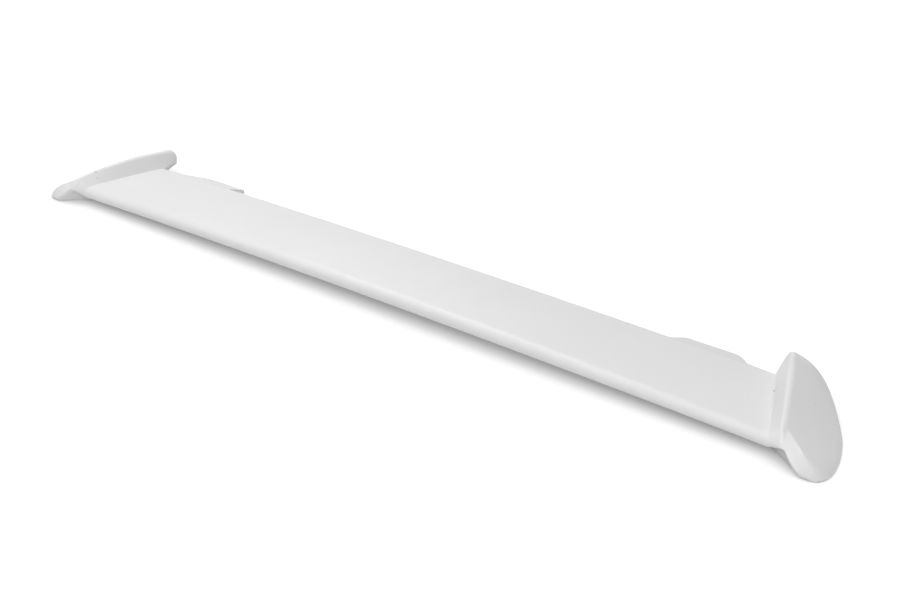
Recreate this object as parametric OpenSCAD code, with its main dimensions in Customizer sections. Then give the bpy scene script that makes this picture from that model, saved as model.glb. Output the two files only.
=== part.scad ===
// Tailgate spoiler: a long low blade that folds over at each end into a fin, moulded in one piece.
// X runs along the blade, Y from the nose back to the fixing lugs, Z up from the bonding faces.

/* [Blade] */
// Height of the nose's top in the middle of the blade
nose_top = 36.2; // [34:0.1:38]
// Fall of the nose's top from the middle to the crown station
nose_crown = 7.4; // [6.5:0.1:8.5]
// Height of the rear edge's top in the middle of the blade
tail_top = 28.3; // [27:0.1:30]
// Fall of the rear edge's top from the middle to the crown station
tail_crown = 5; // [4:0.1:6]
// Thickness of the nose in the middle of the blade
nose_thick = 21.4; // [19:0.1:22]
// Thickness of the nose at the crown station and beyond
nose_thick_end = 18.6; // [17:0.1:20]
// Thickness of the rear edge
tail_thick = 7; // [6:0.1:8]
// Foremost line of the nose
nose_y = 6.8; // [5:0.1:8]
// Depth of the nose's rounding
nose_depth = 10.2; // [9:0.1:11]
// Rearmost line of the blade
tail_y = 135; // [133:0.5:137]
// Rise of the top and of the hollow underside between nose and rear edge
crown = 1.6; // [0.5:0.1:2]

/* [Fixing lugs] */
// Inner side of a lug
lug_in = 372; // [365:1:380]
// Outer side of a lug at its tip
lug_out = 443; // [435:1:450]
// Outer side of a lug where it leaves the blade
lug_root = 474; // [468:1:476]
// Rearmost line of a lug
lug_y = 174; // [170:1:176]
// Thickness of a lug at its tip
lug_thick = 7.2; // [6:0.1:8]

/* [Fins] */
// Where the fillet between blade and fin starts, at the nose
crease_front = 545.7; // [544:0.1:547]
// Where the fillet between blade and fin starts, at the rear edge
crease_rear = 510; // [508:0.1:512]
// Radius of the fillet at the nose
fillet_r = 13; // [12:0.1:13.5]
// Radius of the fillet at the rear edge
fillet_r_rear = 8; // [7:0.1:9]
// Slope of the fin's inner wall
wall_angle = 66; // [64:0.5:68]
// Where the ridge starts, at the nose
ridge_front = 563.7; // [563:0.1:565]
// Where the ridge ends, at the rear
ridge_rear = 519.5; // [518:0.1:521]
// Radius of the ridge at the nose
ridge_r = 5; // [4:0.1:5.5]
// Radius of the ridge at its rear end
ridge_r_rear = 8; // [6:0.1:8.5]
// Height of the ridge at the nose
ridge_z = 39.8; // [39:0.1:41]
// Height of the ridge at its rear end
ridge_z_rear = 42.4; // [41.5:0.1:43.5]
// Rise of the ridge between its two ends
ridge_rise = 5.2; // [4:0.1:6]
// Rearmost line of the fins
fin_y = 165; // [163:0.5:167]
// Height of the underside at the fin's rear end
fin_under = 20; // [18:0.5:21]
// Bulge of the fin's outer edge past the straight line between its two ends
edge_bow = 33; // [31:0.5:34]
// Inner side of the foot below each fin
foot_in = 512; // [506:1:520]

/* [Hidden] */

crown_station = 500;

// Numbers of points round one section: nose, top, rear end and underside
nose_n = 12;
span_n = 9;
tail_n = 6;

function mix(a, b, t) = a + (b - a) * t;
function ease(t) = let (c = min(max(t, 0), 1)) c * c * (3 - 2 * c);
function clamp(v, lo, hi) = min(max(v, lo), hi);

// A rail is one line of the skin from the nose back to the rear end, with what lies below it.
// front, rear: the two ends of its top. yf, under: the nose's foremost line and underside.
// low: depth of the nose's lower rounding. slant: share of the nose's fall that is a straight
// slope, 0 for a half-round nose. tail, under_r: depth and underside of the rear end.
// rise, bow, dip: how the top is arched up, out and down between its ends. foot, lug: 1 where
// the foot or the lug is whole. lift: height of the foot's face above the floor.
function rail(front, yf, under, low, slant, rear, tail, under_r, rise, bow, dip, foot, lug, lift) =
    [front, yf, under, low, slant, rear, tail, under_r, rise, bow, dip, foot, lug, lift];

// A rail at the share t of the way from one to another
function mix_rail(p, q, t) = [for (i = [0:13]) mix(p[i], q[i], t)];

// Shape of the arch that bows a rail outwards, fuller towards the nose
function bow_shape(v) = pow(max(0, 4 * v * (1 - v)), 0.6) * (1 + 0.35 * (1 - 2 * v));

// Blade

function nose_z(x) = nose_top - nose_crown * pow(x / crown_station, 2);
function tail_z(x) = tail_top - tail_crown * pow(x / crown_station, 2);
function nose_t(x) = mix(nose_thick, nose_thick_end, min(1, pow(x / crown_station, 2)));

function blade_rail(x, xr, foot = 0, lug = 0) =
    rail([x, nose_y + nose_depth, nose_z(x)], nose_y, nose_z(x) - nose_t(x), nose_depth, 0,
         [xr, tail_y - tail_thick / 2, tail_z(xr)], tail_thick / 2, tail_z(xr) - tail_thick,
         crown, 0, 0, foot, lug, 0);

// Share of the lug's full length at x: a steep inner side, a slanted outer one and a faint end
lug_side = 6;
lug_start = 0.1;
lug_fade = 0.07;
function lug_share(x) =
    x < lug_in ? 0 :
    x < lug_out ? mix(lug_start, 1, pow(ease((x - lug_in) / lug_side), 0.6)) :
    max(lug_fade * clamp((crown_station - x) / (crown_station - lug_root), 0, 1),
        1 - pow((x - lug_out) / (lug_root - lug_out), 1.5));

blade_x = [0, 60, 120, 180, 240, 300, 350, lug_in - 1.5];
lug_x = [for (d = [0, 0.8, 2, 4, 6.5, 20, 45]) lug_in + d];
slant_x = [for (t = [0, 0.1, 0.25, 0.45, 0.65, 0.85]) mix(lug_out, lug_root, t)];
end_x = [lug_root, 487, crown_station];

blade_rails = [for (x = concat(blade_x, lug_x, slant_x, end_x)) blade_rail(x, x, 0, lug_share(x))];

// Blade above the foot, where the rails turn parallel to the fin
foot_rails = [for (t = [0, 0.1, 0.4, 0.7, 1])
    let (x = mix(foot_in, crease_front, t))
    blade_rail(x, mix(foot_in - 8, crease_rear, t), t > 0 ? 1 : 0)];

// Fin: fillet, inner wall, ridge, outer face and outer edge

z_front = nose_z(crease_front);
z_rear = tail_z(crease_rear);

// Lip: the fin's slanted front band, from the ridge's front end out to the tip
lip_top_y = 14;
lip_y = 0;
lip_under = 19.8;
lip_low = 10;
lip_slant = 0.9;

// Share by which the blade's nose has turned into the lip at x
lip_in = 3;
lip_run = 17;
function lip_share(x) = ease((x - crease_front - lip_in) / lip_run);

function fin_rail(x, z, rear, tail, under_r, rise, back = 0) =
    let (k = lip_share(x))
    rail([x, mix(nose_y + nose_depth, lip_top_y, k) + back, z], mix(nose_y, lip_y, k),
         mix(z_front - nose_thick_end, lip_under, k), mix(nose_depth, lip_low, k), lip_slant * k,
         rear, tail, under_r, rise, 0, 0, 1, 0, 0);

// The fillet's rails fan out behind the blade, to the rear corner at the inner wall's foot
fin_tail = 3.5;
corner = [508.3, fin_y - 8, 26];
corner_fan = 1.5;
function fillet_rail(a) =
    let (s = pow(a / wall_angle, corner_fan))
    fin_rail(crease_front + fillet_r * sin(a), z_front + fillet_r * (1 - cos(a)),
             mix([crease_rear, tail_y - tail_thick / 2, z_rear], corner, s),
             mix(tail_thick / 2, fin_tail, s), mix(z_rear - tail_thick, fin_under + 1, s),
             mix(crown, 0, s));

// The ridge's rounding at the angle a, from the inner wall's slope over to the outer face's;
// its front end turns back to where the border between face and lip begins
ridge_end = -28;
border_back = 6.5;
border_turn = 3;
function ridge_rail(a) =
    let (back = border_back * pow((wall_angle - a) / (wall_angle - ridge_end), border_turn))
    fin_rail(ridge_front - ridge_r * sin(a), ridge_z - ridge_r * (1 - cos(a)),
             [ridge_rear - ridge_r_rear * sin(a), fin_y - fin_tail,
              ridge_z_rear - ridge_r_rear * (1 - cos(a))],
             fin_tail, fin_under, ridge_rise, back);

// Inner wall from the fillet up to the ridge, which runs on behind the blade
function wall_rail(t) = mix_rail(fillet_rail(wall_angle), ridge_rail(wall_angle), t);

// Outer face: nearly a plane that falls outwards, and its rail next to the outer edge
face_fall = 0.518;
face_sag = 1;
face_bulge = 2.3;
face_front = [592, 3.5, 25.8];
face_rear = [549.5, fin_y - 3, 28.2];
face_bow = 36;
tip_y = -9.5;
tip_under = 2.2;
tip_low = 2;
face_end = rail(face_front, tip_y, tip_under, tip_low, lip_slant, face_rear, fin_y - face_rear.y,
                fin_under, 0, face_bow, face_fall * face_bow, 1, 0, 0);

// Outer edge: the line where the face's plane would reach it, and its outermost line below
edge_x = 608;
edge_y = -7.5;
edge_tip_y = -8.3;
edge_low = 1;
edge_x_rear = 556.5;
edge_y_rear = fin_y - 6;
edge_lift = 1.2;
edge_top = rail([edge_x, edge_y, 18], edge_tip_y, tip_under, edge_low, lip_slant,
                [edge_x_rear, edge_y_rear, 24.2], 1, fin_under, 0,
                edge_bow, face_fall * edge_bow, 1, 0, 0);
edge_end = rail([edge_x, edge_y, 3], edge_tip_y, 1.6, edge_low, lip_slant,
                [edge_x_rear, edge_y_rear, 22.6], 1, 21.6, 0,
                edge_bow, face_fall * edge_bow - 4.5, 1, 0, edge_lift);

// Rail of the face at the share t from the ridge to the outer edge; its front end draws the
// border between face and lip
border_bend = 1.25;
lip_bulge = 2;
function face_rail(t) =
    let (r = mix_rail(ridge_rail(ridge_end), face_end, t), s = sin(180 * t),
         y = mix(lip_top_y + border_back, face_front.y, pow(t, border_bend)))
    [for (i = [0:13]) i == 0 ? [r[0].x, y, r[0].z - face_sag * s] :
                      i == 1 ? r[1] - lip_bulge * s :
                      i == 5 ? r[5] + [0, 0, face_bulge * s] : r[i]];

// Rail of the outer edge's rounding at the angle a
function edge_rail(a) =
    let (r = mix_rail(face_end, edge_top, sin(a)))
    [for (i = [0:13]) r[i] + (edge_end[i] - edge_top[i]) * (1 - cos(a))];

fin_rails = concat([for (t = [0.2, 0.4, 0.6, 0.8, 1]) fillet_rail(wall_angle * t)],
                   [for (t = [0.33, 0.67, 1]) wall_rail(t)],
                   [for (a = [45, 22, 0, -14, ridge_end]) ridge_rail(a)],
                   [for (t = [0.1, 0.22, 0.36, 0.52, 0.68, 0.84, 1]) face_rail(t)],
                   [for (a = [18, 34, 50, 64, 76, 85]) edge_rail(a)]);

// Section along one rail

edge_z = 2.4;
foot_back = 60;
foot_power = 2;

// Foremost line of the foot, which runs slanting back and inwards from the fin's tip
foot_x = 585.9;
foot_y0 = 10;
foot_slant = 1.515;
function foot_y(x, run) = (foot_x - x + run * foot_y0) / (run + foot_slant);

// Nose: a half-round on the blade, a slanted band with a rounded lower edge on the fins
nose_share = 0.5;
lip_drop = 0.33;
// Fall of the slanted band at the share w of its depth: level at first, so its border is round
border_soft = 0.2;
function band_fall(w) = w * w * (1 + border_soft) / (w + border_soft);

function nose_points(r) =
    let (top = r[0], s = r[4], zm = mix(r[2], top.z, nose_share - lip_drop * s))
    [for (i = [0:nose_n])
        let (u = 1 - 2 * i / nose_n, a = 90 * (1 - u), b = -90 * u)
        u > 0 ? [top.y - (top.y - r[1]) * sin(a),
                 top.z - (top.z - zm) * (s * band_fall(sin(a)) + (1 - s) * (1 - cos(a)))]
              : [r[1] + r[3] * (1 - cos(b)), zm - (zm - r[2]) * sin(b)]];

// Rear end: half-round, or drawn out into a lug whose underside comes down to the floor
lug_toe = 4;
lug_neck = 18;
lug_root_y = 10;
lug_swell = 0.9;
function tail_points(r) =
    let (top = r[5], h = (top.z - r[7]) / 2, zm = top.z - h, neck = top.y + lug_neck,
         arc = [for (i = [0:tail_n]) let (a = -90 + 180 * i / tail_n)
                [top.y + r[6] * cos(a), zm + h * sin(a)]],
         lug = [[top.y - lug_root_y, r[7]], [neck, 0], [lug_y - lug_toe, 0],
                [lug_y, lug_thick / 2], [lug_y - lug_toe, lug_thick],
                [neck, (top.z + lug_thick) / 2 + lug_swell], [top.y, top.z]])
    r[12] > 0 ? [for (i = [0:tail_n]) mix(arc[i], lug[i], r[12])] : arc;

// Underside from the nose's end a to the rear end's start b: hollow, or with the foot under it
foot_wall = 2;
foot_round = 0.8;
foot_reach = 10;
function under_points(r, a, b) =
    let (run = (r[5].x - r[0].x) / (r[5].y - r[0].y), z0 = r[13],
         yw = clamp(foot_y(r[0].x, run), a[0] + foot_round, foot_back - foot_reach),
         plain = [for (i = [1:span_n]) let (t = i / (span_n + 1))
                  [mix(a[0], b[0], t), mix(a[1], b[1], t) + crown * 4 * t * (1 - t)]],
         foot = concat([[yw, a[1]], [yw + foot_round, mix(z0, a[1], 0.12)], [yw + foot_wall, z0]],
                       [for (i = [1:span_n - 3])
                           let (y = mix(yw + foot_wall, b[0], i / (span_n - 2)),
                                s = max(0, (y - foot_back) / (b[0] - foot_back)))
                           [y, mix(z0, b[1], pow(s, foot_power))]]))
    r[11] > 0 ? foot : plain;

function top_points(r, a, b) =
    [for (i = [1:span_n])
        let (t = (1 - cos(180 * i / (span_n + 1))) / 2,
             z = mix(a[1], b[1], t) + r[8] * 4 * t * (1 - t) - r[10] * bow_shape(1 - t))
        [mix(a[0], b[0], t), max(z, edge_z)]];

function section(r) =
    let (nose = nose_points(r), tail = tail_points(r),
         under = under_points(r, nose[nose_n], tail[0]),
         top = top_points(r, tail[tail_n], nose[0]),
         loop = concat(nose, under, tail, top))
    [for (p = loop)
        let (v = (p[0] - r[0].y) / (r[5].y - r[0].y))
        [mix(r[0].x, r[5].x, v) + r[9] * bow_shape(clamp(v, 0, 1)), p[0], p[1]]];

half = [for (r = concat(blade_rails, foot_rails, fin_rails)) section(r)];
rings = concat([for (i = [len(half) - 1:-1:1]) [for (p = half[i]) [-p.x, p.y, p.z]]], half);
ring_n = len(half[0]);

points = [for (ring = rings, p = ring) p];
skin = [for (i = [0:len(rings) - 2], j = [0:ring_n - 1])
            let (k = (j + 1) % ring_n, a = i * ring_n, b = a + ring_n)
            each [[a + j, b + j, b + k], [a + j, b + k, a + k]]];

// The ends are closed by a strip between the upper and the lower half of the last ring
mid = nose_n / 2;
function strip(base, flip) =
    [for (i = [1:ring_n / 2])
        let (a = base + mid + i - 1, b = base + mid + i,
             c = base + (mid - i + ring_n) % ring_n, d = base + (mid - i + 1 + ring_n) % ring_n)
        each concat(b != c ? [flip ? [a, c, b] : [a, b, c]] : [],
                    a != d ? [flip ? [a, d, c] : [a, c, d]] : [])];

faces = concat(skin, strip(0, false), strip((len(rings) - 1) * ring_n, true));

rows_y = [for (p = points) p.y];
middle_y = (min(rows_y) + max(rows_y)) / 2;

module spoiler() {
    color("whitesmoke")
    translate([0, -middle_y, 0])
    polyhedron(points = points, faces = faces, convexity = 6);
}

spoiler();
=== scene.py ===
import bpy
import math
import numpy as np
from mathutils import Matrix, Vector


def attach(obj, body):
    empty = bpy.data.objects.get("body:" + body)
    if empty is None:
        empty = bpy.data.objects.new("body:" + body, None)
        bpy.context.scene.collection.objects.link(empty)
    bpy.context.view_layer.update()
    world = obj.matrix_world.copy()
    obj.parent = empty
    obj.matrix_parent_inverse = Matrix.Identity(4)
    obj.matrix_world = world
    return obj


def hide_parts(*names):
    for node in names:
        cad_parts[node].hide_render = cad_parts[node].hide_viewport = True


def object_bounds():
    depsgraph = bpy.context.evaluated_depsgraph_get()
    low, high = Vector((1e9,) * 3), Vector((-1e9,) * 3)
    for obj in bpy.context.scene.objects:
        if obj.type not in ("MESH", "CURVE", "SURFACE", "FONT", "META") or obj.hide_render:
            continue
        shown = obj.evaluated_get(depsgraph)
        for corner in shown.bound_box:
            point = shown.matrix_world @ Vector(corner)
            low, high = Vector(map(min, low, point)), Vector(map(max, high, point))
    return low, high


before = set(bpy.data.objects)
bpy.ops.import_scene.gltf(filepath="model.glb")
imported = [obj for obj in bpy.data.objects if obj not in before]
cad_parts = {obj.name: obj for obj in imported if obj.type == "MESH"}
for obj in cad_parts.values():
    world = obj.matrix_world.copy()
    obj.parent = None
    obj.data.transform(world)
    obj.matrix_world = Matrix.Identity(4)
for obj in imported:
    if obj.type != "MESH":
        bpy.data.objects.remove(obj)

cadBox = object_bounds()
print("frame loaded:", sorted(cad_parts))

scene = bpy.context.scene
scene.view_settings.view_transform = "Standard"


def linearColor(hexText):
    # sRGB hex to linear: c/12.92 below 0.04045, else ((c + 0.055) / 1.055) to the power 2.4
    values = [int(hexText[i:i + 2], 16) / 255 for i in (1, 3, 5)]
    return tuple(v / 12.92 if v <= 0.04045 else ((v + 0.055) / 1.055) ** 2.4 for v in values) + (1.0,)


def addNode(tree, kind, settings=None, **links):
    # one node, its properties, and its sockets set to a value or linked from another node's socket; a
    # socket is given by its name, with _ for a space, or by n and its number
    node = tree.nodes.new(kind)
    for name, value in (settings or {}).items():
        setattr(node, name, value)
    for name, value in links.items():
        numbered = name[0] == "n" and name[1:].isdigit()
        socket = node.inputs[int(name[1:]) if numbered else name.replace("_", " ")]
        if isinstance(value, bpy.types.NodeSocket):
            tree.links.new(value, socket)
        else:
            socket.default_value = value
    return node


# Spoiler, in millimetres and degrees, with y counted back from the fin's lip before the part is
# centred. A rail is one line of the skin from nose to rear, a section the closed outline along one.
spoiler = {
    # blade: heights at its nose and rear, how far they drop to the crown station, thickness, depth
    "noseTop": 36.2, "noseCrown": 7.4, "tailTop": 28.3, "tailCrown": 5.0, "crownStation": 500.0,
    "noseThick": 21.4, "noseThickEnd": 18.6, "tailThick": 7.0,
    "noseY": 6.8, "noseDepth": 10.2, "noseShare": 0.5, "tailY": 135.0, "crown": 1.6,
    # lug on the rear edge: its stations across, its reach back, and its seven-node outline
    "lugIn": 372.0, "lugOut": 443.0, "lugRoot": 474.0, "lugY": 174.0, "lugThick": 7.2,
    "lugSide": 6.0, "lugStart": 0.1, "lugRise": 0.6, "lugFall": 1.5, "lugFade": 0.13,
    "lugToe": 4.0, "lugNeck": 18.0, "lugRootY": 10.0, "lugSwell": 0.9,
    # fillet between the blade and the fin's inner wall, and the rounded bend of its rails
    "creaseFront": 545.7, "creaseRear": 510.0, "filletRadius": 4.0,
    "wallAngle": 66.0, "wallAngleFront": 38.5, "corner": (508.3, 157.0, 26.0), "cornerFan": 1.5,
    "filletBend": -4.4, "filletSink": -2.2, "bendAt": 0.818, "bendRound": 0.15,
    # ridge on top of the fin, and the fin's rear end
    "ridgeFront": 563.7, "ridgeRear": 519.5, "ridgeRadius": 5.0, "ridgeRadiusRear": 8.0,
    "ridgeZ": 39.8, "ridgeZRear": 42.4, "ridgeRise": 5.2, "ridgeEnd": -28.0,
    "finY": 165.0, "finUnder": 20.0, "finUnderIn": 21.0, "finTail": 3.5,
    # slanted lip at the fin's front, and the border between it and the outer face
    "lipTopY": 14.0, "lipY": 0.0, "lipUnder": 19.8, "lipLow": 10.0, "lipSlant": 0.9, "lipDrop": 0.33,
    "lipIn": 3.0, "lipRun": 17.0, "lipBulge": 2.0, "lipUnderSag": 2.0,
    "borderBack": 6.5, "borderTurn": 3.0, "borderBend": 1.25, "borderSoft": 0.2,
    # outer face, bowed outwards in plan and falling as it bows
    "faceFront": (592.0, 3.5, 25.8), "faceRear": (549.5, 162.0, 28.2), "faceBow": 36.0,
    "faceFall": 0.518, "faceSag": 1.0, "faceBulge": 2.3, "archPower": 0.6, "archLean": 0.35,
    "tipY": -9.5, "tipUnder": 2.2, "tipLow": 2.0,
    # rounded edge below the face, its foot line, and the rim that it is drawn to
    "edgeFront": (608.0, -7.5, 18.0), "edgeRear": (556.5, 159.0, 24.2), "edgeBow": 33.0,
    "edgeTipY": -8.3, "edgeLow": 1.0, "edgeTail": 1.0, "edgeZ": 2.4,
    "edgeFootZ": 3.0, "edgeFootZRear": 22.6, "edgeFootUnder": 1.6, "edgeFootUnderRear": 21.6,
    "edgeFootDrop": 4.5, "edgeLift": 1.2,
    "rimLift": 1.8, "rimX": 611.0, "rimRun": 14.0, "rimSpare": 0.05,
    # foot under the fin: its inner end, its slanted front wall in plan, and that wall's profile
    "footIn": 512.0, "footInRear": 504.0, "footX": 585.9, "footY0": 10.0, "footSlant": 1.515,
    "footBack": 60.0, "footReach": 10.0, "footRound": 0.8,
    "footOut": (0, 0.25, 0.55, 0.8, 1.1, 1.5, 2.0),
    "footHeight": (1, 0.72, 0.38, 0.12, 0.045, 0.01, 0),
    # cells along one section, rails and places where the rim is looked for, and the angle past which
    # an edge is drawn hard
    "noseCells": 28, "spanCells": 36, "tailCells": 20, "rimRails": 91, "rimStops": 201,
    "sharpDegrees": 38,
}
s = spoiler


def mix(a, b, t):
    # straight mix: a + (b - a) t
    return a + (b - a) * t


def ease(t):
    # smooth step: 3t^2 - 2t^3 between 0 and 1
    c = np.clip(t, 0, 1)
    return c * c * (3 - 2 * c)


def archShape(v):
    # arch over 0 to 1, fuller towards its nose end: (4v(1 - v))^power (1 + lean (1 - 2v))
    return np.maximum(0, 4 * v * (1 - v)) ** s["archPower"] * (1 + s["archLean"] * (1 - 2 * v))


def bendShape(v):
    # tent over 0 to 1 with a rounded tip at b: (p + q - sqrt((p - q)^2 + e^2)) / 2 of p = v / b and
    # q = (1 - v) / (1 - b)
    p, q = v / s["bendAt"], (1 - v) / (1 - s["bendAt"])
    return (p + q - np.sqrt((p - q) ** 2 + s["bendRound"] ** 2)) / 2


# The numbers of one rail
railNames = (
    "frontX", "frontY", "frontZ",      # front point of its top
    "noseY", "under", "low", "slant",  # nose: foremost line, underside, depth below, share of slope
    "rearX", "rearY", "rearZ",         # rear point of its top
    "tail", "underRear",               # rear end: depth and underside
    "rise", "bow", "dip",              # how far the top is arched up, out and down
    "foot", "lug",                     # shares of foot and lug
    "lift",                            # height of the foot above the floor
    "bend")                            # share of the bend that keeps a rail beside the blade
column = {name: place for place, name in enumerate(railNames)}


def railRows(front, noseY, under, low, slant, rear, tail, underRear, rise, bow, dip, foot, lug, lift,
             bend=0.0):
    # one row of the numbers above for each rail
    numbers = [*front, noseY, under, low, slant, *rear, tail, underRear, rise, bow, dip, foot, lug,
               lift, bend]
    return np.stack(np.broadcast_arrays(*[np.asarray(c, float) for c in numbers]), axis=-1)


def take(rails, names):
    # the named numbers of every rail, each as an upright column that meets the points along the rail
    return [rails[:, column[name], None] for name in names.split()]


def noseZ(x):
    # height of the nose: top - crown (x / station)^2
    return s["noseTop"] - s["noseCrown"] * (x / s["crownStation"]) ** 2


def tailZ(x):
    # height of the rear edge: top - crown (x / station)^2
    return s["tailTop"] - s["tailCrown"] * (x / s["crownStation"]) ** 2


def bladeRails(x, xRear, foot, lug):
    # the nose's thickness goes from middle to end as (x / station)^2
    thick = mix(s["noseThick"], s["noseThickEnd"], np.minimum(1, (x / s["crownStation"]) ** 2))
    return railRows((x, s["noseY"] + s["noseDepth"], noseZ(x)), s["noseY"], noseZ(x) - thick,
                    s["noseDepth"], 0, (xRear, s["tailY"] - s["tailThick"] / 2, tailZ(xRear)),
                    s["tailThick"] / 2, tailZ(xRear) - s["tailThick"], s["crown"], 0, 0, foot, lug, 0)


def lugShare(x):
    # 0 inside the lug, a quick rise at its inner side, then 1 - t^fall down its slanted outer side,
    # which fades out in a straight line up to the crown station
    rise = mix(s["lugStart"], 1, ease((x - s["lugIn"]) / s["lugSide"]) ** s["lugRise"])
    fade = s["lugFade"] * np.clip((s["crownStation"] - x) / (s["crownStation"] - s["lugRoot"]), 0, 1)
    fall = 1 - np.maximum(0, (x - s["lugOut"]) / (s["lugRoot"] - s["lugOut"])) ** s["lugFall"]
    return np.where(x < s["lugIn"], 0, np.where(x < s["lugOut"], rise, np.maximum(fade, fall)))


def finRails(x, z, rear, tail, underRear, rise, back=0.0, bend=0.0):
    # the blade's half-round nose turns into the fin's slanted lip as the smooth step k of x
    k = ease((x - s["creaseFront"] - s["lipIn"]) / s["lipRun"])
    under = noseZ(s["creaseFront"]) - s["noseThickEnd"]
    return railRows((x, mix(s["noseY"] + s["noseDepth"], s["lipTopY"], k) + back, z),
                    mix(s["noseY"], s["lipY"], k), mix(under, s["lipUnder"], k),
                    mix(s["noseDepth"], s["lipLow"], k), s["lipSlant"] * k,
                    rear, tail, underRear, rise, 0, 0, 1, 0, 0, bend)


def filletRails(angle):
    # front end on a circle, x = crease + r sin a, z = top + r(1 - cos a); the rear end fans out
    a = np.radians(angle * s["wallAngleFront"] / s["wallAngle"])
    share = (angle / s["wallAngle"]) ** s["cornerFan"]
    zRear = tailZ(s["creaseRear"])
    rear = [mix(start, end, share) for start, end in
            zip((s["creaseRear"], s["tailY"] - s["tailThick"] / 2, zRear), s["corner"])]
    return finRails(s["creaseFront"] + s["filletRadius"] * np.sin(a),
                    noseZ(s["creaseFront"]) + s["filletRadius"] * (1 - np.cos(a)), rear,
                    mix(s["tailThick"] / 2, s["finTail"], share),
                    mix(zRear - s["tailThick"], s["finUnderIn"], share), mix(s["crown"], 0, share),
                    0, share)


def ridgeRails(angle):
    # circle over the ridge, x = ridge - r sin a, z = top - r(1 - cos a), from inner to outer slope
    a = np.radians(angle)
    aFront = np.where(a > 0, a * s["wallAngleFront"] / s["wallAngle"], a)
    turned = (s["wallAngle"] - angle) / (s["wallAngle"] - s["ridgeEnd"])
    return finRails(s["ridgeFront"] - s["ridgeRadius"] * np.sin(aFront),
                    s["ridgeZ"] - s["ridgeRadius"] * (1 - np.cos(aFront)),
                    (s["ridgeRear"] - s["ridgeRadiusRear"] * np.sin(a), s["finY"] - s["finTail"],
                     s["ridgeZRear"] - s["ridgeRadiusRear"] * (1 - np.cos(a))),
                    s["finTail"], s["finUnder"], s["ridgeRise"],
                    s["borderBack"] * turned ** s["borderTurn"])


def wallRails(t):
    # straight mix from the fillet's last rail up to the ridge's first
    edges = np.array([s["wallAngle"]])
    return mix(filletRails(edges), ridgeRails(edges), t[:, None])


def outerRow(front, tipY, under, low, rear, tail, underRear, bow, drop, lift):
    # one rail outside the ridge: on the foot, bowed outwards, and falling by its share of the bow
    return railRows(front, tipY, under, low, s["lipSlant"], rear, tail, underRear, 0,
                    bow, s["faceFall"] * bow - drop, 1, 0, lift)


faceEnd = outerRow(s["faceFront"], s["tipY"], s["tipUnder"], s["tipLow"], s["faceRear"],
                   s["finY"] - s["faceRear"][1], s["finUnder"], s["faceBow"], 0, 0)
edgeTop = outerRow(s["edgeFront"], s["edgeTipY"], s["tipUnder"], s["edgeLow"], s["edgeRear"],
                   s["edgeTail"], s["finUnder"], s["edgeBow"], 0, 0)
edgeEnd = outerRow((*s["edgeFront"][:2], s["edgeFootZ"]), s["edgeTipY"], s["edgeFootUnder"],
                   s["edgeLow"], (*s["edgeRear"][:2], s["edgeFootZRear"]), s["edgeTail"],
                   s["edgeFootUnderRear"], s["edgeBow"], s["edgeFootDrop"], s["edgeLift"])


def faceRails(t):
    # mix from ridge to edge; the front end follows t^bend, sags by sin(pi t), the rear bulges by it,
    # and the lip's underside sags by its square
    rows = mix(ridgeRails(np.array([s["ridgeEnd"]])), faceEnd, t[:, None])
    wave = np.sin(np.pi * t)
    rows[:, column["frontY"]] = mix(s["lipTopY"] + s["borderBack"], s["faceFront"][1],
                                    t ** s["borderBend"])
    rows[:, column["frontZ"]] -= s["faceSag"] * wave
    rows[:, column["noseY"]] -= s["lipBulge"] * wave
    rows[:, column["under"]] -= s["lipUnderSag"] * wave ** 2
    rows[:, column["rearZ"]] += s["faceBulge"] * wave
    return rows


def edgeRails(angle):
    # quarter of an ellipse: towards the edge line by sin a, and down to its foot by 1 - cos a
    a = np.radians(angle)[:, None]
    return mix(faceEnd, edgeTop, np.sin(a)) + (edgeEnd - edgeTop) * (1 - np.cos(a))


def rimLine(v):
    # how far out the edge's rails may reach at v: the largest x whose top still stands at edgeZ
    rails = edgeRails(np.linspace(0, 90, s["rimRails"]))
    frontX, rearX, frontZ, rearZ, bow, dip = take(rails, "frontX rearX frontZ rearZ bow dip")
    x = mix(frontX, rearX, v) + bow * archShape(v)
    z = mix(frontZ, rearZ, v) - dip * archShape(v)
    return np.where(z >= s["edgeZ"], x, x[0]).max(axis=0)


def nosePoints(rails):
    # top half: y = front - depth sin a, z falls by 1 - cos a, or by the slope w^2 (1 + e) / (w + e) of
    # w = sin a; lower half: y = nose + low(1 - cos b), z = middle - drop sin b
    front, top, nose, under, low, slant = take(rails, "frontY frontZ noseY under low slant")
    middle = mix(under, top, s["noseShare"] - s["lipDrop"] * slant)
    turn = np.linspace(0, 2, s["noseCells"] + 1)[None, :]
    a = np.radians(90 * np.minimum(turn, 1))
    b = np.radians(90 * np.maximum(turn - 1, 0))
    w = np.sin(a)
    slope = w * w * (1 + s["borderSoft"]) / (w + s["borderSoft"])
    fall = slant * slope + (1 - slant) * (1 - np.cos(a))
    y = np.where(turn < 1, front - (front - nose) * w, nose + low * (1 - np.cos(b)))
    z = np.where(turn < 1, top - (top - middle) * fall, middle - (middle - under) * np.sin(b))
    return np.stack([y, z], axis=-1)


def throughPoints(nodes, t):
    # Catmull-Rom curve through the nodes: each span is the cubic with end slopes (next - previous) / 2
    count = nodes.shape[1] - 1
    slopes = np.gradient(nodes, axis=1)
    i = np.minimum((t * count).astype(int), count - 1)
    u = (t * count - i)[None, :, None]
    p, q, m, n = nodes[:, i], nodes[:, i + 1], slopes[:, i], slopes[:, i + 1]
    return (2 * u**3 - 3 * u**2 + 1) * p + (u**3 - 2 * u**2 + u) * m + \
        (3 * u**2 - 2 * u**3) * q + (u**3 - u**2) * n


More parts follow.
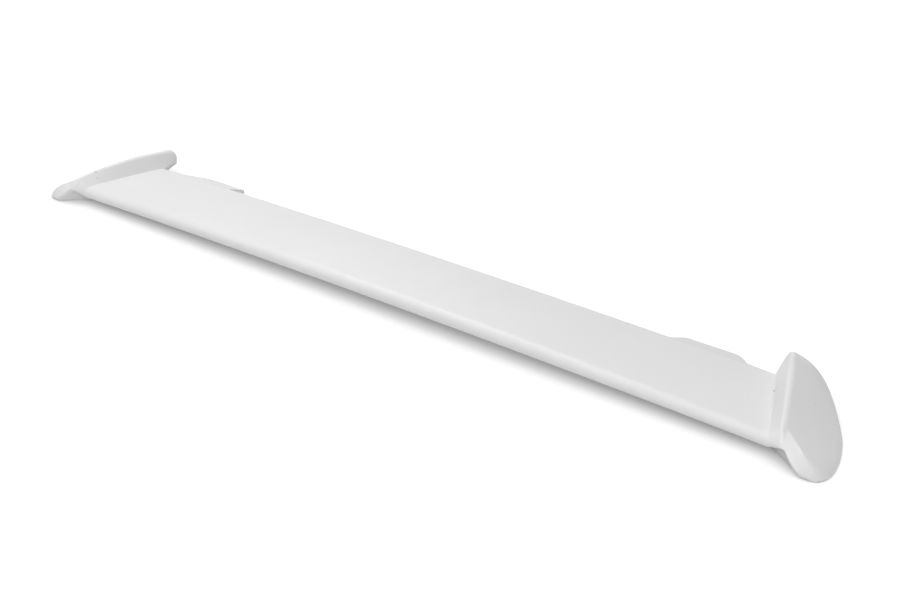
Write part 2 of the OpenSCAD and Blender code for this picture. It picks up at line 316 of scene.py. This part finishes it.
def tailPoints(rails):
    # half-round y = end + depth cos a, z = middle + half sin a, drawn out by the lug's share to the
    # curve through the lug's seven nodes, whose underside lies on the floor
    y, top, tail, under, lug = take(rails, "rearY rearZ tail underRear lug")
    t = np.linspace(0, 1, s["tailCells"] + 1)
    a = np.radians(-90 + 180 * t)[None, :]
    half = (top - under) / 2
    arc = np.stack([y + tail * np.cos(a), top - half + half * np.sin(a)], axis=-1)
    one = np.ones_like(y)
    neck, toe = y + s["lugNeck"], one * (s["lugY"] - s["lugToe"])
    nodeY = [y - s["lugRootY"], neck, toe, one * s["lugY"], toe, neck, y]
    nodeZ = [under, 0 * one, 0 * one, one * s["lugThick"] / 2, one * s["lugThick"],
             (top + s["lugThick"]) / 2 + s["lugSwell"], top]
    drawn = throughPoints(np.stack([np.concatenate(nodeY, 1), np.concatenate(nodeZ, 1)], axis=-1), t)
    drawn[..., 1] = np.maximum(drawn[..., 1], 0)
    return mix(arc, drawn, lug[..., None])


def underPoints(rails, start, end):
    # hollow underside z = mix + crown 4t(1 - t), or the foot: a steep front wall down to its level
    # face, which rises behind to the rear end as the square of the way
    n = s["spanCells"]
    frontX, frontY, rearX, rearY, lift, foot = take(rails, "frontX frontY rearX rearY lift foot")
    y0, z0, y1, z1 = start[:, 0, None], start[:, 1, None], end[:, 0, None], end[:, 1, None]
    run = (rearX - frontX) / (rearY - frontY)
    wall = (s["footX"] - frontX + run * s["footY0"]) / (run + s["footSlant"])
    wall = np.clip(wall, y0 + s["footRound"], s["footBack"] - s["footReach"])
    t = (np.arange(1, n + 1) / (n + 1))[None, :]
    plain = np.stack([mix(y0, y1, t), mix(z0, z1, t) + s["crown"] * 4 * t * (1 - t)], axis=-1)
    out, height = np.array([s["footOut"]]), np.array([s["footHeight"]])
    rest = n - out.shape[1]
    t = (np.arange(1, rest + 1) / (rest + 1))[None, :]
    y = mix(wall + out[:, -1:], y1, t)
    share = np.maximum(0, (y - s["footBack"]) / (y1 - s["footBack"]))
    stood = np.stack([np.concatenate([wall + out, y], 1),
                      np.concatenate([mix(lift, z0, height), mix(lift, z1, share ** 2)], 1)], axis=-1)
    return np.where(foot[..., None] > 0, stood, plain)


def topPoints(rails, start, end):
    # from the rear end to the nose: z = mix + rise 4t(1 - t) - dip arch(1 - t), never under the edge
    n = s["spanCells"]
    rise, dip = take(rails, "rise dip")
    t = ((1 - np.cos(np.pi * np.arange(1, n + 1) / (n + 1))) / 2)[None, :]
    y = mix(start[:, 0, None], end[:, 0, None], t)
    z = mix(start[:, 1, None], end[:, 1, None], t) + rise * 4 * t * (1 - t)
    return np.stack([y, np.maximum(z - dip * archShape(1 - t), s["edgeZ"])], axis=-1)


def sections(rails):
    # closed outline of each rail: nose, underside, rear end, top; x follows the rail, bowed outwards
    nose, tail = nosePoints(rails), tailPoints(rails)
    under = underPoints(rails, nose[:, -1], tail[:, 0])
    top = topPoints(rails, tail[:, -1], nose[:, 0])
    loop = np.concatenate([nose, under, tail, top], axis=1)
    frontX, frontY, rearX, rearY = take(rails, "frontX frontY rearX rearY")
    bow, dip, bend = take(rails, "bow dip bend")
    v = (loop[..., 0] - frontY) / (rearY - frontY)
    inside = np.clip(v, 0, 1)
    x = mix(frontX, rearX, v) + bow * archShape(inside)
    # past the rim line the outer rails are drawn back to it
    stops = np.linspace(0, 1, s["rimStops"])
    rim = np.interp(inside, stops, rimLine(stops))
    x = np.where((dip > 0) & (x > rim), rim + s["rimSpare"] * (x - rim), x)
    # the underside rises towards the rim by a smooth step, and only the top takes the fillet's bend
    topSide = np.arange(loop.shape[1]) >= loop.shape[1] - s["spanCells"]
    low = s["rimLift"] * ease((x - s["rimX"]) / s["rimRun"]) * ~topSide
    bent = bend * bendShape(inside) * topSide
    z = np.maximum(loop[..., 1] + s["filletSink"] * bent, low)
    return np.stack([x + s["filletBend"] * bent, loop[..., 0], z], axis=-1)


def spread(*stops):
    # stops are (value, cells): the values between each two stops, evenly spaced, ends not repeated
    parts = [np.linspace(stops[i][0], stops[i + 1][0], stops[i][1], endpoint=False)
             for i in range(len(stops) - 1)]
    return np.concatenate(parts + [[stops[-1][0]]])


# Rails from the middle out to the right tip, close together where the skin turns quickly, as at the
# lug's inner side. Each group starts a small step past the last rail of the one before.
bladeX = spread((0, 30), (s["lugIn"] - 1.5, 1), (s["lugIn"], 16), (s["lugIn"] + 6.5, 10),
                (s["lugOut"], 24), (s["lugRoot"], 6), (s["crownStation"], 0))
footT = np.array([0, 0.1, 0.2, 0.35, 0.5, 0.65, 0.8, 1])
footX = mix(s["footIn"], s["creaseFront"], footT)
footRear = mix(s["footInRear"], s["creaseRear"], footT)
railTable = np.concatenate([
    bladeRails(bladeX, bladeX, 0, lugShare(bladeX)),
    bladeRails(footX, footRear, (footT > 0) * 1.0, 0),
    filletRails(s["wallAngle"] * np.linspace(0.06, 1, 18)),
    wallRails(np.linspace(0.12, 1, 8)),
    ridgeRails(np.linspace(s["wallAngle"] - 5, s["ridgeEnd"], 20)),
    faceRails(np.linspace(0.03, 1, 34)),
    edgeRails(np.linspace(6, 85, 16))])
half = sections(railTable)
mirrored = half[:0:-1] * np.array([-1, 1, 1])
rings = np.concatenate([mirrored, half])
middleY = (rings[..., 1].min() + rings[..., 1].max()) / 2
rings[..., 1] -= middleY
rings /= 1000
print("sections worked out:", rings.shape[:2], "middle", round(float(middleY), 2))


def closedSkin(rings):
    # grid of quads round and along the rings; each end ring closes on a line halfway between its
    # upper and lower half
    count, n = rings.shape[:2]
    grid = np.arange(count * n).reshape(count, n)
    turned = np.roll(grid, -1, axis=1)
    quads = np.stack([grid[:-1], turned[:-1], turned[1:], grid[1:]], axis=-1).reshape(-1, 4)
    around = (np.arange(n) - s["noseCells"] // 2) % n
    seat = np.minimum(around, n - around)
    points, faces = [rings.reshape(-1, 3)], [quads]
    for ring, base, flip in ((rings[0], 0, True), (rings[-1], (count - 1) * n, False)):
        pairs = np.zeros((n // 2 + 1, 3))
        np.add.at(pairs, seat, ring)
        pairs /= np.bincount(seat)[:, None]
        start = sum(len(p) for p in points)
        a, b = np.arange(n), (np.arange(n) + 1) % n
        cap = np.stack([base + a, base + b, start + seat[b], start + seat[a]], axis=-1)
        faces.append(cap[:, ::-1] if flip else cap)
        points.append(pairs)
    return np.concatenate(points), np.concatenate(faces)


def meshPiece(name, points, faces, sharpDegrees):
    # numpy points and quads into one smooth-shaded mesh, with hard edges past the given angle
    mesh = bpy.data.meshes.new(name)
    mesh.from_pydata(points.tolist(), [], faces.tolist())
    mesh.validate()
    mesh.polygons.foreach_set("use_smooth", np.ones(len(mesh.polygons), bool))
    mesh.set_sharp_from_angle(angle=math.radians(sharpDegrees))
    piece = bpy.data.objects.new(name, mesh)
    scene.collection.objects.link(piece)
    return piece


skinPoints, skinFaces = closedSkin(rings)
skinPoints = np.clip(skinPoints, np.array(cadBox[0]), np.array(cadBox[1]))
skin = meshPiece("spoiler_skin", skinPoints, skinFaces, s["sharpDegrees"])
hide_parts("spoiler")
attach(skin, "root")
print("skin made:", len(skin.data.polygons), "faces")

# In-mould primer: white paint sprayed into the mould before the foam, so it takes the mould's satin
# grain. It looks chalk white with a broad soft sheen, is faintly clouded where the coat is thinner,
# and has a few pinholes where bubbles of the foam broke through; the skin has no holes there, and
# their dark is painted shade, drawn as grey spots. The real grain, about 0.3 mm, is too fine to show
# and is drawn at 1.6 mm.
primer = {
    "color": "#DEDEDE", "thin": "#D9D9D9", "roughness": 0.42, "ior": 1.45,
    "cloudMm": 90.0, "cloudDetail": 3.0,
    "grainMm": 1.6, "grainDetail": 2.0, "grainDepthMm": 0.02, "grainStrength": 0.25,
    # colour of the painted shade that stands in for each pinhole
    "pinholeShade": "#8A8886", "pinholeSoftMm": 0.6,
    # each pinhole's place and the radius of its full painted shade, in millimetres
    "pinholes": [((522.4, 13.6, 25.6), 0.8), ((523.8, 15.8, 28.3), 0.3), ((572.5, 10.7, 28.7), 0.1),
                 ((-554.1, -44.3, 42.3), 0.7), ((-548.8, -47.9, 34.8), 0.4)],
}
primed = bpy.data.materials.new("primed_moulding_satin_white")
primed.use_nodes = True
tree = primed.node_tree
tree.nodes.clear()
place = addNode(tree, "ShaderNodeTexCoord").outputs["Object"]
clouds = addNode(tree, "ShaderNodeTexNoise", Vector=place, Scale=1000 / primer["cloudMm"],
                 Detail=primer["cloudDetail"])
coat = addNode(tree, "ShaderNodeMix", {"data_type": "RGBA"}, Factor=clouds.outputs["Fac"],
               n6=linearColor(primer["color"]), n7=linearColor(primer["thin"]))
grain = addNode(tree, "ShaderNodeTexNoise", Vector=place, Scale=1000 / primer["grainMm"],
                Detail=primer["grainDetail"])
relief = addNode(tree, "ShaderNodeBump", Height=grain.outputs["Fac"], Strength=primer["grainStrength"],
                 Distance=primer["grainDepthMm"] / 1000)
# a pinhole's painted shade is a round grey spot: full within its radius, fading over the soft width
# past it
tone = coat.outputs[2]
for centre, radius in primer["pinholes"]:
    away = addNode(tree, "ShaderNodeVectorMath", {"operation": "DISTANCE"}, n0=place,
                   n1=tuple(c / 1000 for c in centre))
    holeShade = addNode(tree, "ShaderNodeMapRange", Value=away.outputs["Value"], From_Min=radius / 1000,
                   From_Max=(radius + primer["pinholeSoftMm"]) / 1000, To_Min=1.0, To_Max=0.0)
    tone = addNode(tree, "ShaderNodeMix", {"data_type": "RGBA"}, Factor=holeShade.outputs["Result"],
                   n6=tone, n7=linearColor(primer["pinholeShade"])).outputs[2]
shell = addNode(tree, "ShaderNodeBsdfPrincipled", Base_Color=tone,
                Roughness=primer["roughness"], IOR=primer["ior"], Normal=relief.outputs["Normal"])
addNode(tree, "ShaderNodeOutputMaterial", Surface=shell.outputs[0])
skin.data.materials.append(primed)
print("primer made")

# Camera, in metres: in front of the right end and above it, without roll, looking down along the blade
view = {"place": (0.8816, -1.1640, 0.8577), "downDegrees": 31.39, "turnDegrees": 34.17,
        "lensMm": 48.52, "sensorMm": 36}

cameraData = bpy.data.cameras.new("camera")
cameraData.sensor_width = view["sensorMm"]
cameraData.lens = view["lensMm"]
camera = bpy.data.objects.new("camera", cameraData)
camera.location = view["place"]
camera.rotation_euler = (math.radians(90 - view["downDegrees"]), 0, math.radians(view["turnDegrees"]))
scene.collection.objects.link(camera)
scene.camera = camera
print("camera placed")

# Studio, in metres: five softboxes round the part, all aimed at its middle, the two strong ones in
# front on the right and high over the left end, and a weak even sky that the camera sees as white.
studio = {
    "lamps": {
        "rightFront": {"place": (1.408, -1.408, 1.671), "watts": 27.5},
        "leftFront": {"place": (-1.408, -1.408, 1.671), "watts": 12.5},
        "leftTop": {"place": (-1.099, 0.0, 2.356), "watts": 28.0},
        "backLeft": {"place": (-1.408, 1.408, 1.671), "watts": 9.5},
        "rightTop": {"place": (1.099, 0.0, 2.356), "watts": 8.0},
    },
    "lampSize": (1.2, 1.0), "sky": 0.12, "seenSky": 1.0,
    "floorSize": 12.0, "paper": "#F5F5F5", "seenPaper": "#7C7C7C", "paperLift": 1.0,
    # the painted shadow close to the part, drawn by ambient occlusion: its share of the lift at the
    # darkest, its reach and its softness
    "paintedShadowFloor": 0.15, "paintedShadowMm": 190.0, "paintedShadowPower": 0.85, "paintedShadowSamples": 16,
}


def addSoftbox(name, lamp):
    light = bpy.data.lights.new(name, "AREA")
    light.shape = "RECTANGLE"
    light.size, light.size_y = studio["lampSize"]
    light.energy = lamp["watts"]
    holder = bpy.data.objects.new(name, light)
    holder.location = lamp["place"]
    holder.rotation_euler = (-Vector(lamp["place"])).to_track_quat("-Z", "Y").to_euler()
    scene.collection.objects.link(holder)


def seenRay(tree):
    # 1 for the camera and for mirrored or refracted rays, 0 for the rays that light the part
    path = addNode(tree, "ShaderNodeLightPath").outputs
    pair = addNode(tree, "ShaderNodeMath", {"operation": "MAXIMUM"}, n0=path["Is Camera Ray"],
                   n1=path["Is Glossy Ray"])
    return addNode(tree, "ShaderNodeMath", {"operation": "MAXIMUM"}, n0=pair.outputs[0],
                   n1=path["Is Transmission Ray"]).outputs[0]


for name, lamp in studio["lamps"].items():
    addSoftbox(name, lamp)

world = bpy.data.worlds.new("studio")
world.use_nodes = True
tree = world.node_tree
tree.nodes.clear()
skyLevel = addNode(tree, "ShaderNodeMapRange", Value=seenRay(tree), To_Min=studio["sky"],
                   To_Max=studio["seenSky"])
skyLight = addNode(tree, "ShaderNodeBackground", Color=(1, 1, 1, 1),
                   Strength=skyLevel.outputs["Result"])
addNode(tree, "ShaderNodeOutputWorld", Surface=skyLight.outputs[0])
scene.world = world

# Floor: matt white paper. For the camera and for reflections it is a darker paper with a glow that is
# dimmed by ambient occlusion close to the part, a painted shadow on top of the lamps' own shadows; the
# glow keeps the open paper white and the painted shadow soft
edge = studio["floorSize"] / 2
floorMesh = bpy.data.meshes.new("floor")
floorMesh.from_pydata([(-edge, -edge, 0), (edge, -edge, 0), (edge, edge, 0), (-edge, edge, 0)], [],
                      [(0, 1, 2, 3)])
floor = bpy.data.objects.new("floor", floorMesh)
scene.collection.objects.link(floor)
paper = bpy.data.materials.new("white_paper")
paper.use_nodes = True
tree = paper.node_tree
tree.nodes.clear()
# painted shadow: the glow is dimmed where ambient occlusion finds the part close by
near = addNode(tree, "ShaderNodeAmbientOcclusion", {"samples": studio["paintedShadowSamples"]},
               Color=(1, 1, 1, 1), Distance=studio["paintedShadowMm"] / 1000)
close = addNode(tree, "ShaderNodeMath", {"operation": "POWER"}, n0=near.outputs["AO"],
                n1=studio["paintedShadowPower"])
lift = addNode(tree, "ShaderNodeMapRange", Value=close.outputs[0],
               To_Min=studio["paperLift"] * studio["paintedShadowFloor"], To_Max=studio["paperLift"])
diffuse = addNode(tree, "ShaderNodeBsdfDiffuse", Color=linearColor(studio["paper"]))
seenDiffuse = addNode(tree, "ShaderNodeBsdfDiffuse", Color=linearColor(studio["seenPaper"]))
glowWithPaintedShadow = addNode(tree, "ShaderNodeEmission", Color=(1, 1, 1, 1), Strength=lift.outputs[0])
both = addNode(tree, "ShaderNodeAddShader", n0=seenDiffuse.outputs[0], n1=glowWithPaintedShadow.outputs[0])
final = addNode(tree, "ShaderNodeMixShader", Fac=seenRay(tree), n1=diffuse.outputs[0],
                n2=both.outputs[0])
addNode(tree, "ShaderNodeOutputMaterial", Surface=final.outputs[0])
floor.data.materials.append(paper)
print("studio built")
